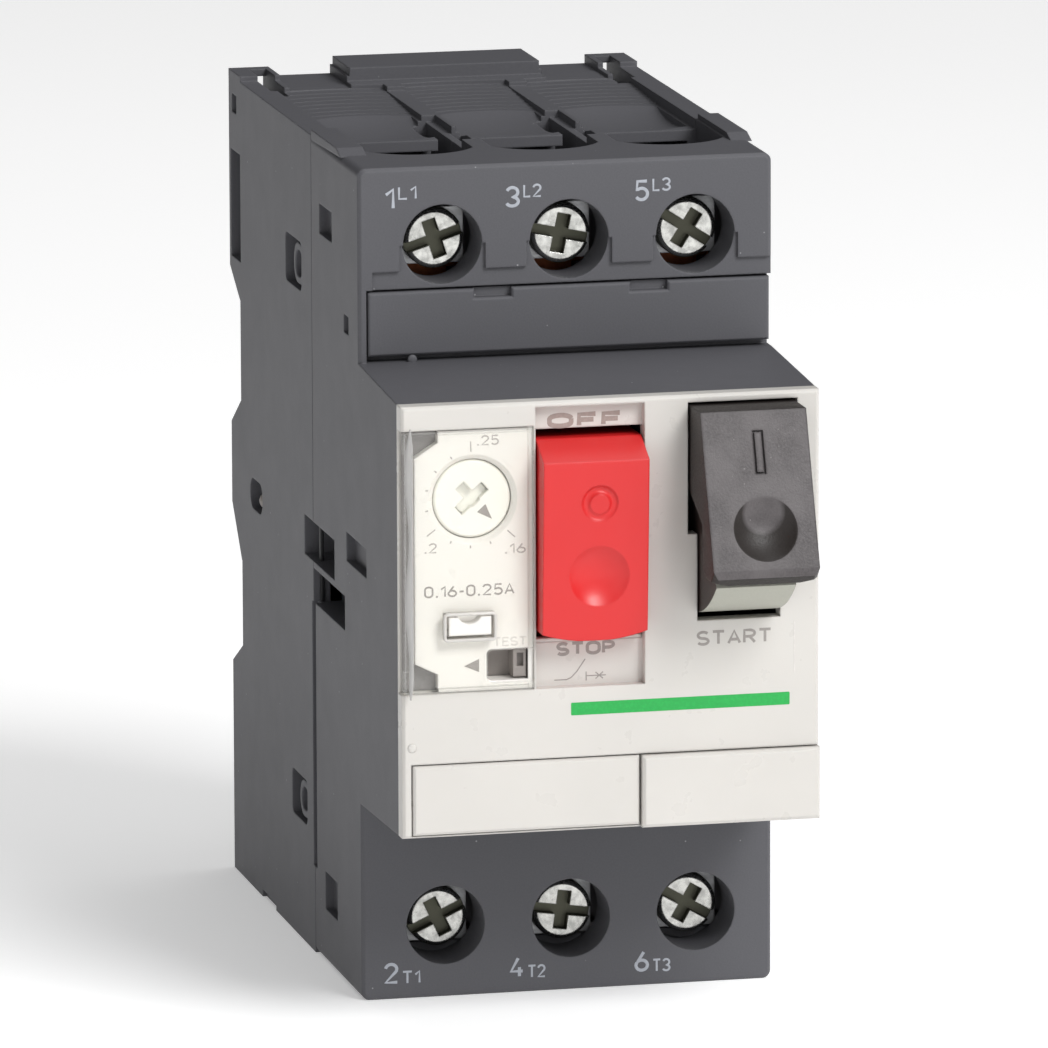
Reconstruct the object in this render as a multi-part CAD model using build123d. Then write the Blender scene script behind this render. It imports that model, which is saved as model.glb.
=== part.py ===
"""Three-pole motor protection breaker with push-button control.

Frame, in millimetres: +Z up, +X to the right seen from the front, the front faces -Y.
The origin is the centre of the seat that bears on the mounting rail: y = 0 is the seat plane.
"""
import os
from math import asin, cos, degrees, hypot, radians, sin

from build123d import *

# Whole device
HALF_WIDTH = 22.25
BOTTOM = -44.5
TOP = 46.0
REAR = 5.3
SEAM = -37.8
BLOCK_FRONT = -61.0
BLOCK_TOP = 44.5
RIM_TOP = 45.1
NOSE_FRONT = -79.2
FACE = -81.2
NOSE_TOP = 22.9
NOSE_BOTTOM = -22.6
WALL = 1.85
INNER = HALF_WIDTH - WALL

# Poles and terminals
PITCH = 13.6
POLES = [0.4 + PITCH * i for i in (-1, 0, 1)]
LINE_Z = 36.2
LOAD_Z = -36.7
SCREW_HOLE_R = 4.25
SCREW_R = 2.0
THREAD_GAP = 0.05
HEAD_R = 3.2
HEAD_TOP = -57.0
HEAD_H = 2.2
BAR_FRONT = -49.3
PLATE_T = 1.2
CHAMBER_FRONT = -55.1
FUNNEL_Y = -46.6
FUNNEL_R = 6.6
FUNNEL_HALF = 5.8
DIVIDERS = (POLES[0] + PITCH / 2, POLES[1] + PITCH / 2)

# 35 mm mounting rail seat
SEAT_TOP = 20.2
SEAT_BOTTOM = -18.4
PAD_HALF = 8.9
PAD_Z = 15.4
HOOK_Z = 15.9
LATCH_HALF = 9.0

# Push buttons: both turn on one pin along X
PIVOT_Y = -77.0
PIVOT_Z = 16.8
PIVOT_R = 1.25
START_X = (8.4, 19.7)
ROCKER_X = (9.4, 17.9)
ROCKER_R = 17.4
STOP_X = (-7.8, 3.4)
STOP_R = 19.9

# Toggle lever, pinned in the mechanism frame
LEVER_Y = -70.5
LEVER_Z = 14.0
LEVER_PIN_R = 1.0

# Setting dial, test slider and clear cover
DIAL_X = -14.6
DIAL_Z = 12.9
DIAL_R = 4.1
POCKET_X = -8.2
POCKET_Z = (-7.4, 20.35)
POCKET_FLOOR = -79.8
LABEL_FRONT = -80.9
LABEL_BACK = -78.6
DIAL_FRONT = -80.4
SEAL_BACK = -80.0
HINGE_X = -21.5
HINGE_Y = -80.4

# Ball that hollows the dishes: 8.7 mm round at the surface, 1.2 mm deep
DISH_R = (8.7 ** 2 + 1.2 ** 2) / 2.4

# Long screws that join the two halves of the casing
CASE_SCREWS = [(-18.0, 30.0), (18.0, 30.0), (-18.0, -34.5), (18.0, -34.5)]

# Trip bar
TRIP_Y = -33.0
TRIP_Z = -20.0
TRIP_R = 1.2


def block(x0, x1, y0, y1, z0, z1):
    """A box between two corners."""
    size = (x1 - x0, y1 - y0, z1 - z0)
    return Pos((x0 + x1) / 2, (y0 + y1) / 2, (z0 + z1) / 2) * Box(*size)


def rod_x(y, z, x0, x1, r):
    return Pos((x0 + x1) / 2, y, z) * Rot(0, 90, 0) * Cylinder(r, x1 - x0)


def rod_y(x, z, y0, y1, r):
    return Pos(x, (y0 + y1) / 2, z) * Rot(90, 0, 0) * Cylinder(r, y1 - y0)


def rod_z(x, y, z0, z1, r):
    return Pos(x, y, (z0 + z1) / 2) * Cylinder(r, z1 - z0)


def side_prism(points, x0, x1):
    """An outline in (y, z), extruded along X."""
    face = Plane.YZ.offset(x0) * make_face(Polyline(*points, close=True))
    return extrude(face, amount=x1 - x0)


def front_prism(points, y_back, y_front):
    """An outline in (x, z), extruded forward along -Y."""
    face = Plane.XZ.offset(-y_back) * make_face(Polyline(*points, close=True))
    return extrude(face, amount=y_back - y_front)


def rounded_x(y0, y1, z0, z1, x0, x1, r):
    """A rounded rectangle in (y, z), extruded along X."""
    face = Plane.YZ.offset(x0) * Pos((y0 + y1) / 2, (z0 + z1) / 2) * RectangleRounded(y1 - y0, z1 - z0, r)
    return extrude(face, amount=x1 - x0)


def rounded_y(x0, x1, z0, z1, y_back, y_front, r):
    """A rounded rectangle in (x, z), extruded forward along -Y."""
    face = Plane.XZ.offset(-y_back) * Pos((x0 + x1) / 2, (z0 + z1) / 2) * RectangleRounded(x1 - x0, z1 - z0, r)
    return extrude(face, amount=y_back - y_front)


def pivot_arc(r, start, stop):
    """An arc about the button pin, in (y, z); angles run from straight down towards the front."""
    angles = [radians(start + (stop - start) * i / 2) for i in range(3)]
    return ThreePointArc(*[(PIVOT_Y - r * sin(a), PIVOT_Z - r * cos(a)) for a in angles])


def arc_prism(arc, points, x0, x1):
    """An arc closed by straight runs through the points, extruded along X."""
    runs = Polyline(arc @ 1, *points, arc @ 0)
    face = Plane.YZ.offset(x0) * make_face(Wire([arc, *runs.edges()]))
    return extrude(face, amount=x1 - x0)


def spring(r, wire, height, turns):
    """A round-wire compression spring standing on z = 0."""
    path = Helix(pitch=(height - 2 * wire) / turns, height=height - 2 * wire, radius=r)
    ring = Plane(origin=path @ 0, z_dir=path % 0) * Circle(wire)
    return Pos(0, 0, wire) * sweep(ring, path)


# Housings

def funnels(body):
    """Ridged slopes and dished mouths that lead the wires to the terminals, above and below."""
    for x in POLES:
        for i in range(8):
            ring = rod_z(x, -33, 43.95 - 0.08 * i, TOP + 1, 27.5 - 1.9 * i)
            body = body - (ring & block(x - FUNNEL_HALF, x + FUNNEL_HALF, SEAM, 0, 40, TOP + 1))
        # a dish in each slope, and the wire passage under its lip
        spread = block(x - 5.4, x + 5.4, SEAM, -15, -50, 50)
        body = body - (Pos(x, -28.5, 43.4 + DISH_R - 1.2) * Sphere(DISH_R) & spread)
        body = body - (Pos(x, -28.5, -43.9 - DISH_R + 1.2) * Sphere(DISH_R) & spread)
        for z0, z1 in ((38.5, 42.2), (-42.7, -38.5)):
            body = body - block(x - 4.9, x + 4.9, SEAM, -34.2, z0, z1)
    return slots(body, SEAM, -25.0)


def slots(body, y0, y1):
    """Narrow slots beside the ribs between the poles."""
    for x in DIVIDERS:
        for z0, z1 in ((39.5, TOP + 1), (BOTTOM - 1, -39.5)):
            body = body - block(x - 2.0, x - 0.5, y0, y1, z0, z1)
            body = body - block(x + 0.4, x + 1.6, y0, min(y1, -33.0), z0, z1)
        body = body - block(x - 0.6, x + 0.5, y0, y1, 43.2, TOP + 1)
        body = body - block(x - 0.6, x + 0.5, y0, y1, BOTTOM - 1, -43.6)
    return body


def rear_base():
    """Rear half of the casing: rail seat, wire funnels, arc chambers."""
    outline = [(SEAM + 0.2, BOTTOM), (REAR, BOTTOM), (REAR, SEAT_BOTTOM - 2.6), (0, SEAT_BOTTOM),
               (0, SEAT_TOP), (REAR, SEAT_TOP + 3.1), (REAR, TOP), (SEAM + 0.2, TOP)]
    body = side_prism(outline, -HALF_WIDTH, HALF_WIDTH)
    body = body - block(-INNER, INNER, SEAM, -2.0, -36.6, 36.6)
    for x in (-6.4, 7.2):
        body = body + block(x - 0.7, x + 0.7, SEAM + 0.2, -1.5, -37, 37)
    body = body - block(-15, 15, -2.5, 3.3, 25, 36.6)
    # steps of the top: side walls, corner lugs, low rear edge, raised middle
    body = body - block(-23, 23, SEAM, -3.5, BLOCK_TOP, TOP + 1)
    for s in (-1, 1):
        body = body - block(*sorted((s * 10.6, s * 23)), -4, 6, RIM_TOP, TOP + 1)
        body = body - block(*sorted((s * 17.8, s * 23)), -4, -1, BLOCK_TOP, TOP + 1)
        body = body - block(*sorted((s * 10.9, s * 17.8)), -8, 6, 44.1, TOP + 1)
        body = body - block(*sorted((s * 10.9, s * 17.8)), -8, 6, BOTTOM - 1, -43.9)
    body = body - block(-19.6, 19.6, SEAM, -8, 44.0, TOP + 1)
    body = funnels(body)
    # the seat bears on the rail with one raised pad
    seat = block(-23, 23, -0.15, 1, SEAT_BOTTOM, SEAT_TOP)
    body = body - (seat - block(-PAD_HALF, PAD_HALF, -1, 2, -PAD_Z, PAD_Z))
    # side ribs that reach into the rail's hollow
    nub = side_prism([(-0.5, 9.0), (0, 9.0), (5.1, 5.9), (5.1, -3.1), (0, -8.8), (-0.5, -8.8)], 0, 3.2)
    body = body + Pos(-HALF_WIDTH, 0, 0) * nub + Pos(HALF_WIDTH - 3.2, 0, 0) * nub
    # fixed rail hooks
    for x in (-12.5, 12.5):
        body = body + side_prism([(1.4, 22.0), (1.4, HOOK_Z), (2.6, HOOK_Z), (3.9, 18.2), (3.9, 22.6)], x - 3, x + 3)
    # guide for the rail latch, with a pocket for its spring
    body = body - block(-LATCH_HALF - 0.2, LATCH_HALF + 0.2, 0.9, REAR + 1, BOTTOM - 1, SEAT_BOTTOM + 1)
    body = body - block(-2.4, 2.4, -1.2, 1.5, -41.5, -27.5)
    for s in (-1, 1):
        ledge = block(*sorted((s * 7.4, s * (LATCH_HALF + 1))), 4.5, REAR, -41, -24)
        body = body + ledge
    # slots and windows in the side walls
    for s in (-1, 1):
        x0, x1 = sorted((s * 18.6, s * 23))
        body = body - block(x0, x1, -0.6, REAR - 0.9, 24.5, 36.4)
        body = body - block(x0, x1, 1.2, 3.6, 40.6, 42.6)
        body = body - block(*sorted((s * 18.4, s * 20.3)), -8, 3.8, 42.0, TOP + 1)
        body = body - block(*sorted((s * 18.4, s * 20.3)), 3.6, 6, 42.0, 44.3)
        body = body - rounded_x(-32.5, -24.3, 26.7, 32.0, x0, x1, 0.8)
        body = body - rounded_x(-33.8, -26.0, -31.4, -26.5, x0, x1, 0.8)
        body = body - rounded_x(-11.3, -4.8, -1.8, 1.6, x0, x1, 1.6)
        body = body + block(*sorted((s * 18.6, s * 21)), SEAM + 0.2, -32.6, -3.5, 3.3)
        body = body - block(*sorted((s * 19.2, s * 23)), SEAM, -33.2, -1.6, 2.7)
        body = body - block(*sorted((s * 21.8, s * 23)), -17, -9.9, BOTTOM - 1, -43.7)
        body = body - block(*sorted((s * 21.6, s * 23)), SEAM, SEAM + 0.9, -35, -6)
    # screw columns, then the bearings of the trip bar
    for x, z in CASE_SCREWS:
        side = x / abs(x)
        body = body + rod_y(x, z, SEAM + 0.2, -1.0, 2.3) + rod_y(x, z, -6.0, -1.0, 3.2)
        body = body + block(*sorted((side * 18.5, side * 20.6)), SEAM + 0.2, -1.0, z - 1.0, z + 1.0)
    for x, z in CASE_SCREWS:
        body = body - rod_y(x, z, SEAM - 1, 0.5, 1.3) - rod_y(x, z, -3.2, 6, 2.4)
    return body - rod_x(TRIP_Y, TRIP_Z, -INNER - 0.8, INNER + 0.8, TRIP_R + THREAD_GAP)


def main_housing():
    """Front half of the casing: terminal chambers and the nose behind the white front."""
    rect = Plane.XZ.offset(-SEAM) * Pos(0, (BLOCK_TOP + BOTTOM) / 2)
    outline = rect * RectangleRounded(2 * HALF_WIDTH, BLOCK_TOP - BOTTOM, 0.9)
    body = extrude(outline, amount=SEAM - BLOCK_FRONT)
    body = chamfer(body.faces().sort_by(Axis.Y)[0].edges(), 0.35)
    # raised rims beside the funnels, with a sloping front end
    rim = [(-52.6, 44.4), (-50.4, RIM_TOP), (SEAM, RIM_TOP), (SEAM, 44.0)]
    body = body + side_prism(rim, -HALF_WIDTH, -19.4) + side_prism(rim, 20.0, HALF_WIDTH)
    nose = side_prism([(-58, 23.9), (BLOCK_FRONT, 23.9), (NOSE_FRONT, NOSE_TOP),
                       (NOSE_FRONT, NOSE_BOTTOM), (BLOCK_FRONT, -23.2), (-58, -23.2)], -HALF_WIDTH, HALF_WIDTH)
    body = body + nose
    # central chamber and the hollow of the nose
    body = body - block(-INNER, INNER, -58.6, SEAM + 1, -22.6, 22.6)
    body = body - block(-INNER, INNER, NOSE_FRONT - 1, -58, -20.6, 21.0)
    for x in POLES:
        body = body - block(x - 5.4, x + 5.4, CHAMBER_FRONT, -41.2, 22, 39.4)
        body = body - block(x - 5.4, x + 5.4, CHAMBER_FRONT, -41.2, -39.9, -22)
        body = body - block(x - 5.4, x + 5.4, -42, SEAM + 1, 22, 31.5)
        body = body - block(x - 5.4, x + 5.4, -42, SEAM + 1, -31.5, -22)
        for z in (LINE_Z, LOAD_Z):
            body = body - rod_y(x, z, BLOCK_FRONT - 1, CHAMBER_FRONT + 0.5, SCREW_HOLE_R)
        # funnels with a round front edge, and the mouths of the clamps
        for low, high in ((41.4, RIM_TOP + 1), (BOTTOM - 1, -41.9)):
            body = body - block(x - FUNNEL_HALF, x + FUNNEL_HALF, FUNNEL_Y, SEAM + 1, low, high)
            round_front = rod_z(x, FUNNEL_Y, low, high, FUNNEL_R)
            body = body - (round_front & block(x - FUNNEL_HALF, x + FUNNEL_HALF, -54, FUNNEL_Y + 1, low, high))
        body = body - block(x - 4.8, x + 4.8, -52.4, -41.2, 38, 42)
        body = body - block(x - 4.8, x + 4.8, -52.4, -41.2, -42.5, -38)
    body = slots(body, -44.5, SEAM + 1)
    # shallow field round the upper screws
    step = 0.4
    body = body - block(-HALF_WIDTH + 1.5, HALF_WIDTH + 1, BLOCK_FRONT - 1, BLOCK_FRONT + step, 31.5, 33.5)
    for x in POLES:
        body = body - block(x - 4.6, x + 4.6, BLOCK_FRONT - 1, BLOCK_FRONT + step, 33.0, 36.2)
    # seat of the blanking panel
    body = body - block(-21.4, HALF_WIDTH + 1, BLOCK_FRONT - 1, -59.0, 23.9, 31.6)
    # windows in the side walls
    for s in (-1, 1):
        x0, x1 = sorted((s * 21.3, s * 23))
        deep0, deep1 = sorted((s * 19.2, s * 23))
        body = body + block(*sorted((s * 18.6, s * 21)), -54.1, SEAM, -6.6, 3.3)
        body = body - block(x0, x1, -48.0, -41.7, 34.6, 37.8) - block(x0, x1, -48.9, -42.8, -38.5, -34.4)
        body = body - block(x0, x1, -56.1, -53.7, 26.1, 28.0)
        body = body - block(deep0, deep1, -48.4, SEAM + 1, -1.6, 2.7)
        body = body - block(deep0, deep1, -53.5, SEAM + 1, -6.0, -2.3)
        body = body - block(x0, x1, -64.3, -54.4, 1.7, 4.8)
        body = body - block(*sorted((s * 21.6, s * 23)), SEAM - 0.9, SEAM + 1, -35, -6)
    # supports of the button pin
    post = block(4.2, 7.6, -78.4, -73.0, 13.8, 21.5) + block(-9.7, -8.1, -78.4, -73.0, 13.8, 21.5)
    body = body + post + block(20.1, INNER + 0.5, -78.4, -74.5, 14.4, 21.5)
    body = body - rod_x(PIVOT_Y, PIVOT_Z, -9.9, INNER + 0.9, PIVOT_R + 0.02)
    # columns that take the case screws
    for x, z in CASE_SCREWS:
        keep = block(-INNER - 1, INNER + 1, -47, SEAM, -40.3, 34)
        body = body + (rod_y(x, z, -47, SEAM, 2.3) & keep)
    for x, z in CASE_SCREWS:
        body = body - rod_y(x, z, -46, SEAM + 1, 1.27)
    return body


def case_screws():
    """Four long screws, put in from the rear."""
    group = []
    for x, z in CASE_SCREWS:
        screw = rod_y(x, z, -45.0, -3.1, 1.25) + rod_y(x, z, -3.1, -1.4, 2.25)
        group.append(screw - block(x - 0.35, x + 0.35, -2.2, 0, z - 1.6, z + 1.6))
    return Compound(children=group)


def blanking_panel():
    """Snap-in panel over the slot for an auxiliary contact block."""
    panel = block(-21.2, 22.0, BLOCK_FRONT, -59.1, 24.6, 31.35)
    for x in (-7.8, 9.0):
        panel = panel - block(x - 2.0, x + 2.0, BLOCK_FRONT - 1, -60.0, 30.4, 32)
    return chamfer(panel.faces().sort_by(Axis.Y)[0].edges(), 0.2)


# White front

def front_cover():
    """White front plate with the openings for the buttons and the setting window."""
    cover = block(-HALF_WIDTH, HALF_WIDTH, FACE, NOSE_FRONT, NOSE_BOTTOM, NOSE_TOP)
    cover = chamfer(cover.faces().sort_by(Axis.Y)[0].edges(), 0.3)
    # seats of the two lower panels
    cover = cover - block(-21.3, 3.1, FACE - 1, NOSE_FRONT + 1, NOSE_BOTTOM + 0.2, -14.8)
    cover = cover - block(3.1, 23, FACE - 1, NOSE_FRONT + 1, NOSE_BOTTOM - 1, -14.8)
    # pocket for the clear cover, open at the left
    cover = cover - block(-23, POCKET_X, FACE - 1, POCKET_FLOOR, *POCKET_Z)
    cover = cover - block(-23, -20.9, FACE - 1, -79.5, *POCKET_Z)
    cover = cover - block(-20.88, -8.6, FACE - 1, NOSE_FRONT + 1, -7.0, 19.9)
    cover = cover - rod_z(HINGE_X, HINGE_Y, -8.3, 21.3, 0.46)
    # channel of the stop button and its opening
    cover = cover - block(-8.0, 3.6, FACE - 1, -80.0, -7.4, 22.3)
    cover = cover - block(-8.0, 3.6, FACE - 1, NOSE_FRONT + 1, -2.7, 19.8)
    # opening of the start button, narrow below
    cover = cover - block(START_X[0] - 0.2, START_X[1] + 0.2, FACE - 1, NOSE_FRONT + 1, 8.2, 22.1)
    return cover - block(ROCKER_X[0] - 0.2, ROCKER_X[1] + 0.2, FACE - 1, NOSE_FRONT + 1, -1.0, 9)


def setting_label_plate():
    """Plate with the current scale, behind the clear cover."""
    plate = front_prism([(-20.8, -4.2), (-18.4, -5.4), (-18.4, -6.9), (-8.7, -6.9), (-8.7, 19.8), (-18.3, 19.8),
                         (-18.3, 19.0), (-20.8, 17.4)], NOSE_FRONT, LABEL_FRONT)
    plate = plate + block(-20.1, -8.1, NOSE_FRONT, LABEL_BACK, -8.2, 20.6)
    # round well of the dial with a sloping rim
    plate = plate - rod_y(DIAL_X, DIAL_Z, LABEL_FRONT - 1, POCKET_FLOOR, DIAL_R + 0.1)
    rim = Pos(DIAL_X, LABEL_FRONT + 0.25, DIAL_Z) * Rot(90, 0, 0) * Cone(DIAL_R + 0.1, DIAL_R + 0.6, 0.5)
    plate = plate - rim - rod_y(DIAL_X, DIAL_Z, -85, -70, 1.9)
    # windows of the test slider and the seal tab
    plate = plate - rounded_y(-13.2, -8.0, -6.3, -3.0, -70, -85, 0.55)
    return plate - block(-17.8, -12.5, LABEL_FRONT - 1, SEAL_BACK, -1.7, 1.05)


def seal_tab():
    """Tab with an eye for the sealing wire."""
    tab = block(-17.4, -12.9, -81.9, SEAL_BACK, -1.2, 0.75)
    tab = tab - rod_y(-15.2, 1.35, -83, -80.6, 1.35)
    return tab - rod_x(-81.2, -0.5, -20, -10, 0.35)


def transparent_cover():
    """Clear cover on two trunnions at its left edge."""
    cover = block(-21.9, -8.4, -82.0, -81.1, -7.2, 20.15)
    cover = chamfer(cover.faces().sort_by(Axis.Y)[0].edges(), 0.25)
    for z0, z1 in ((17.9, 20.15), (-7.2, -5.0)):
        cover = cover + block(-21.9, -21.1, -81.3, HINGE_Y, z0, z1) + rod_z(HINGE_X, HINGE_Y, z0, z1, 0.5)
    cover = cover + rod_z(HINGE_X, HINGE_Y, -8.1, -6.5, 0.4) + rod_z(HINGE_X, HINGE_Y, 19, 21.1, 0.4)
    cover = cover - block(-17.7, -12.6, -83, -81, -1.6, 0.9)
    return cover - rounded_y(-13.3, -7.6, -6.4, -2.9, -81, -83, 0.6)


def setting_dial():
    """Current setting dial with a driver slot and a cam at its inner end."""
    dial = rod_y(DIAL_X, DIAL_Z, DIAL_FRONT, POCKET_FLOOR - 0.1, DIAL_R)
    dial = chamfer(dial.edges().sort_by(Axis.Y)[0], 0.2)
    dial = dial + rod_y(DIAL_X, DIAL_Z, POCKET_FLOOR - 0.1, -70, 1.85)
    # driver cross; one arm is short, beside the pointer
    for angle, start, end in ((42, -1.9, 1.9), (132, -0.7, 1.9)):
        arm = Pos((start + end) / 2, 0, 0) * Box(end - start, 1.0, 1.1)
        dial = dial - Pos(DIAL_X, DIAL_FRONT + 0.2, DIAL_Z) * Rot(0, -angle, 0) * arm
    return dial + rod_y(DIAL_X - 1.2, DIAL_Z, -72, -68, 3.6)


def test_slider():
    """Slider that trips the breaker by hand."""
    knob = block(-10.3, -8.9, -80.5, -78.4, -6.1, -3.2) - block(-9.9, -9.2, -81, -79.8, -5.0, -3.6)
    return knob + block(-14.8, -8.6, -78.4, -77.2, -7.4, -2.2)


def label_holder():
    """Lower left panel for the user's own label."""
    panel = block(-21.15, 3.0, -81.4, NOSE_FRONT, NOSE_BOTTOM + 0.3, -14.95)
    return chamfer(panel.faces().sort_by(Axis.Y)[0].edges(), 0.25)


def aux_slot_cover():
    """Lower right cover of the front slot for an auxiliary contact."""
    panel = block(3.2, HALF_WIDTH, -81.9, NOSE_FRONT, NOSE_BOTTOM, -14.95)
    return chamfer(panel.faces().sort_by(Axis.Y)[0].edges(), 0.3)


# Buttons

def dimple(x, y, z, tilt, r, depth):
    """A finger dimple in a face whose outward normal is tilted up from -Y by tilt degrees."""
    ball = (r * r + depth * depth) / (2 * depth)
    reach = ball - depth
    return Pos(x, y - reach * cos(radians(tilt)), z + reach * sin(radians(tilt))) * Sphere(ball)


def bowed(x0, x1, z_side, z_mid):
    """A tall block whose lower edge is bowed down in the middle, to intersect with a button."""
    arc = ThreePointArc((x0, z_side), ((x0 + x1) / 2, z_mid), (x1, z_side))
    runs = Polyline((x1, z_side), (x1, 30), (x0, 30), (x0, z_side))
    face = Plane.XZ.offset(60) * make_face(Wire([arc, *runs.edges()]))
    return extrude(face, amount=40)


CAP_TOP = (-85.6, 21.8)
CAP_LOW = (-91.7, 5.6)
CAP_OUTLINE = [(-79.4, 21.8), CAP_TOP, CAP_LOW, (-90.2, 4.1), (-87.0, 5.4), (-86.6, 10.2), (-79.4, 13.6)]
CAP_LENGTH = hypot(CAP_LOW[0] - CAP_TOP[0], CAP_LOW[1] - CAP_TOP[1])
CAP_TILT = degrees(asin((CAP_TOP[0] - CAP_LOW[0]) / CAP_LENGTH))
CAP_NORMAL = (0, -cos(radians(CAP_TILT)), sin(radians(CAP_TILT)))
CAP_MID = 14.3


def on_cap(distance):
    """The point (y, z) on the start button's sloping face, a distance down from its top edge."""
    share = distance / CAP_LENGTH
    return tuple(top + share * (low - top) for top, low in zip(CAP_TOP, CAP_LOW))


def start_cap():
    """Start button: a sloping cap, hollow at the back."""
    cap = side_prism(CAP_OUTLINE, *START_X)
    front = cap.faces().sort_by(Axis.Y)[0].edges()
    cap = chamfer(front, 0.5)
    cap = cap & bowed(*START_X, 4.9, 4.1)
    pocket = [(-79.0, 20.2), (-84.4, 20.2), (-88.6, 8.6), (-87.4, 7.5), (-86.0, 9.6), (-79.0, 13.0)]
    cap = cap - side_prism(pocket, START_X[0] + 1.5, START_X[1] - 1.5)
    cap = cap - dimple(CAP_MID, *on_cap(12.5), CAP_TILT, 3.4, 1.2)
    # outlined bar, the sign for on
    mark = Plane(origin=(CAP_MID, *on_cap(4.4)), x_dir=(1, 0, 0), z_dir=CAP_NORMAL)
    ring = Rectangle(1.15, 4.6) - Rectangle(0.7, 4.15)
    return cap - extrude(mark * ring, amount=0.3, both=True)


def start_rocker():
    """Rocker that carries the start button and pushes the toggle lever."""
    body = arc_prism(pivot_arc(ROCKER_R, -12, 42), [(PIVOT_Y, PIVOT_Z)], *ROCKER_X)
    body = body + rod_x(PIVOT_Y, PIVOT_Z, *ROCKER_X, 2.4) - side_prism(CAP_OUTLINE, 0, 30)
    core = arc_prism(pivot_arc(ROCKER_R - 2.0, -4, 30), [(PIVOT_Y - 1, PIVOT_Z - 4)],
                     ROCKER_X[0] + 1.2, ROCKER_X[1] - 1.2)
    body = body - core
    return body - rod_x(PIVOT_Y, PIVOT_Z, 0, 30, PIVOT_R + 0.05)


def stop_button():
    """Stop button with a chamfered top, hollow behind its face."""
    under = pivot_arc(STOP_R, degrees(asin(6.2 / STOP_R)), -degrees(asin(2.5 / STOP_R)))
    button = arc_prism(under, [(-74.5, 18.8), (-80.4, 18.8), (-84.2, 16.9)], *STOP_X)
    button = button & bowed(*STOP_X, -1.3, -2.2)
    button = button - dimple(-1.8, -83.55, 4.7, -3.0, 3.2, 1.1)
    button = button - Pos(-1.8, -84.2, 12.4) * Rot(90, 0, 0) * Torus(1.48, 0.5)
    hollow = [(-74.0, 13.0), (-81.0, 13.0), (-81.0, 1.0), (-74.0, 0.5)]
    button = button - side_prism(hollow, STOP_X[0] + 1.5, STOP_X[1] - 1.5)
    return button - rod_x(PIVOT_Y, PIVOT_Z, -10, 5, PIVOT_R + 0.05)


def button_pivot_pin():
    return rod_x(PIVOT_Y, PIVOT_Z, -9.7, INNER + 0.8, PIVOT_R)


# Switching mechanism

def mechanism_frame():
    """Folded steel frame that holds the toggle lever's pin."""
    sides = block(8.5, 9.1, -73.5, -60.0, 3.0, 19.0) + block(18.1, 18.7, -73.5, -60.0, 3.0, 19.0)
    frame = sides + block(8.5, 18.7, -60.6, -60.0, 10.0, 19.0)
    return frame - rod_x(LEVER_Y, LEVER_Z, 0, 30, LEVER_PIN_R + 0.02)


def toggle_lever():
    arm = side_prism([(-72.6, 14.0), (-72.6, 0.6), (-71.6, 0.0), (-70.3, 0.6), (-70.3, 14.0)], 10.5, 16.5)
    lever = arm + rod_x(LEVER_Y, LEVER_Z, 10.5, 16.5, 2.2)
    return lever - rod_x(LEVER_Y, LEVER_Z, 0, 30, LEVER_PIN_R + 0.05)


def toggle_pin():
    return rod_x(LEVER_Y, LEVER_Z, 8.5, 18.7, LEVER_PIN_R)


def contact_carrier():
    """Insulating bar that moves the three contact bridges together."""
    bar = block(-19.0, 19.4, -52.4, -50.6, 4.0, 20.6)
    for x in POLES:
        for s in (-1, 1):
            bar = bar + block(*sorted((x + s * 3.2, x + s * 4.4)), -50.8, -45.8, 8.0, 16.0)
        bar = bar + rod_y(x, 12.0, -50.8, -49.0, 1.0)
    return bar + block(11.0, 16.0, -69.4, -52.0, 6.2, 7.8)


def moving_contact(x):
    """Contact bridge with a silver pad at each end."""
    bridge = block(x - 3.0, x + 3.0, -46.4, -45.4, 3.6, 20.4)
    for z in (6.1, 17.7):
        bridge = bridge + rod_y(x, z, -45.6, -44.75, 1.6)
    return bridge


def contact_springs():
    """One compression spring behind each contact bridge."""
    coil = spring(1.6, 0.25, 4.1, 4)
    return Compound(children=[Pos(x, -46.45, 12.0) * Rot(90, 0, 0) * coil for x in POLES])


def line_terminal(x):
    """Upper terminal: clamp bar, strip and fixed contact."""
    bar = block(x - 4.3, x + 4.3, BAR_FRONT, BAR_FRONT + PLATE_T, 31.8, 39.2)
    bar = bar + block(x - 3.0, x + 3.0, BAR_FRONT, BAR_FRONT + PLATE_T, 22.2, 32.0)
    bar = bar + block(x - 3.0, x + 3.0, BAR_FRONT, -39.4, 22.2, 23.4)
    bar = bar + block(x - 3.0, x + 3.0, -40.6, -39.4, 15.6, 22.4) + rod_y(x, 17.7, -41.6, -40.4, 1.6)
    return bar - rod_y(x, LINE_Z, -60, -40, SCREW_R + THREAD_GAP)


def load_contact(x):
    """Lower fixed contact and its strip to the trip coil."""
    strip = block(x - 3.0, x + 3.0, -40.6, -39.4, 2.8, 8.2) + rod_y(x, 6.1, -41.6, -40.4, 1.6)
    return strip + block(x - 3.0, x + 3.0, -40.6, -29.4, 2.8, 3.8)


def load_terminal(x):
    """Lower terminal: clamp bar and the strip from the bimetal."""
    bar = block(x - 4.3, x + 4.3, BAR_FRONT, BAR_FRONT + PLATE_T, -39.7, -32.2)
    bar = bar + block(x - 3.0, x + 3.0, BAR_FRONT, BAR_FRONT + PLATE_T, -32.4, -28.8)
    bar = bar + block(x - 3.0, x + 3.0, BAR_FRONT, -13.2, -30.0, -28.8)
    return bar - rod_y(x, LOAD_Z, -60, -40, SCREW_R + THREAD_GAP)


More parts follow.
